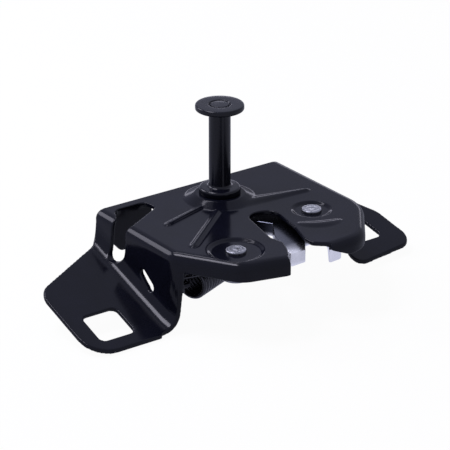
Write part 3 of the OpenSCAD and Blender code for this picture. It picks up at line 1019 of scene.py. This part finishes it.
@dataclass(frozen=True)
class Softbox:
    """A soft rectangular lamp, hung in a direction from the latch."""

    name: str
    towards: Triple
    size_m: tuple[float, float]
    watts: float
    away_m: float = 1.0
    tint: str = "#f0eeff"

    def hang(self, aim: Vector) -> None:
        """Hangs the lamp so that it faces the latch.

        Args:
            aim: The point that it faces.
        """
        data = bpy.data.lights.new(self.name, "AREA")
        data.shape = "RECTANGLE"
        data.size, data.size_y = self.size_m
        data.energy = self.watts
        data.color = linear(self.tint)[:3]
        lamp = bpy.data.objects.new(self.name, data)
        bpy.context.scene.collection.objects.link(lamp)
        at = aim + Vector(self.towards).normalized() * self.away_m
        turn = (aim - at).to_track_quat("-Z", "Y")
        lamp.matrix_world = Matrix.Translation(at) @ turn.to_matrix().to_4x4()


# The main light from above, two behind for the folds, a low strip for the rims of the ribs and the
# dishes, and a broad, weak fill from the right.
SOFTBOXES = (
    Softbox("overhead_softbox", (-0.33, 0.24, 0.915), (0.34, 0.34), 6.8),
    Softbox("back_strip", (0.05, 0.53, 0.85), (0.45, 0.1), 1.4),
    Softbox("back_left_softbox", (-0.38, 0.742, 0.52), (0.48, 0.4), 5.0),
    Softbox("low_back_strip", (0.6, 0.78, 0.15), (1.2, 0.16), 2.4, away_m=1.3),
    Softbox("right_fill", (0.539, 0.366, 0.759), (1.2, 1.2), 1.2, away_m=1.3, tint="#e0e5ff"),
)


@dataclass(frozen=True)
class Studio:
    """The pale floor, the soft lamps, the white surround and the camera."""

    eye_m: Triple = (-0.579724, -0.801767, 0.417092)
    aim_m: Triple = (-0.015894, -0.025721, 0.0)
    lens_mm: float = 199.24
    sensor_mm: float = 36.0
    clip_m: tuple[float, float] = (0.01, 50.0)
    floor_m: float = 6.0
    floor_gap_mm: float = 0.5
    floor_glow: float = 0.96
    paper: str = "#ececec"
    fill: float = 0.22
    cool: str = "#dfe2fb"

    def camera(self) -> None:
        """Sets the camera at the photograph's viewing angle."""
        data = bpy.data.cameras.new("camera")
        data.lens = self.lens_mm
        data.sensor_width = self.sensor_mm
        data.clip_start, data.clip_end = self.clip_m
        camera = bpy.data.objects.new("camera", data)
        bpy.context.scene.collection.objects.link(camera)
        eye, aim = Vector(self.eye_m), Vector(self.aim_m)
        turn = (aim - eye).to_track_quat("-Z", "Y")
        camera.matrix_world = Matrix.Translation(eye) @ turn.to_matrix().to_4x4()
        bpy.context.scene.camera = camera

    def seen(self, tree: bpy.types.NodeTree) -> bpy.types.NodeSocket:
        """Adds the switch that is 1 for rays that look, and 0 for rays that light.

        Args:
            tree: The node tree that takes the switch.

        Returns:
            The switch's output.
        """
        path = add_node(tree, "ShaderNodeLightPath").outputs
        switch = path["Is Camera Ray"]
        for name in ("Is Glossy Ray", "Is Transmission Ray"):
            switch = add_node(
                tree,
                "ShaderNodeMath",
                {"operation": "MAXIMUM"},
                {0: switch, 1: path[name]},
            ).outputs[0]
        return switch

    def floor(self) -> None:
        """Lays a pale floor that looks white and keeps a faint shadow."""
        bm = bmesh.new()
        bmesh.ops.create_grid(bm, x_segments=1, y_segments=1, size=self.floor_m / 2)
        drop = CAD_BOX[0].z - self.floor_gap_mm * MM
        bmesh.ops.translate(bm, verts=bm.verts, vec=(0.0, 0.0, drop))
        paper = bpy.data.materials.new("white_paper")
        paper.use_nodes = True
        tree = paper.node_tree
        tree.nodes.clear()
        matt = add_node(tree, "ShaderNodeBsdfDiffuse", {"Color": linear(self.paper)})
        looked_at = add_node(tree, "ShaderNodeLightPath").outputs["Is Camera Ray"]
        hue = add_node(
            tree,
            "ShaderNodeMixRGB",
            {"Color1": linear(self.cool), "Color2": linear(WHITE)},
            {"Fac": looked_at},
        )
        glow = add_node(
            tree,
            "ShaderNodeEmission",
            {"Strength": 1.0},
            {"Color": hue.outputs["Color"]},
        )
        share = add_node(
            tree,
            "ShaderNodeMapRange",
            {"To Min": 0.0, "To Max": self.floor_glow},
            {"Value": self.seen(tree)},
        )
        mix = add_node(
            tree,
            "ShaderNodeMixShader",
            links={"Fac": share.outputs["Result"], 1: matt.outputs[0], 2: glow.outputs[0]},
        )
        add_node(tree, "ShaderNodeOutputMaterial", links={"Surface": mix.outputs[0]})
        add_piece("floor", bm, paper)

    def surround(self) -> None:
        """Makes the world white to look at and dimmer as a light."""
        world = bpy.data.worlds.new("studio")
        bpy.context.scene.world = world
        world.use_nodes = True
        tree = world.node_tree
        tree.nodes.clear()
        strength = add_node(
            tree,
            "ShaderNodeMapRange",
            {"To Min": self.fill, "To Max": 1.0},
            {"Value": self.seen(tree)},
        )
        cool = add_node(
            tree,
            "ShaderNodeBackground",
            {"Color": linear(self.cool)},
            {"Strength": strength.outputs["Result"]},
        )
        white = add_node(
            tree, "ShaderNodeBackground", {"Color": linear(WHITE), "Strength": 1.0}
        )
        looked_at = add_node(tree, "ShaderNodeLightPath").outputs["Is Camera Ray"]
        sky = add_node(
            tree,
            "ShaderNodeMixShader",
            links={"Fac": looked_at, 1: cool.outputs[0], 2: white.outputs[0]},
        )
        add_node(tree, "ShaderNodeOutputWorld", links={"Surface": sky.outputs[0]})

    def build(self) -> None:
        """Sets up the whole studio."""
        self.camera()
        self.floor()
        self.surround()
        for softbox in SOFTBOXES:
            softbox.hang(Vector(self.aim_m))
        bpy.context.scene.view_settings.view_transform = "Standard"


def main() -> None:
    """Builds the studio and the latch."""
    logging.basicConfig(level=logging.INFO, format="%(name)s: %(message)s")
    Studio().build()
    Latch().build()


if __name__ == "__main__":
    main()
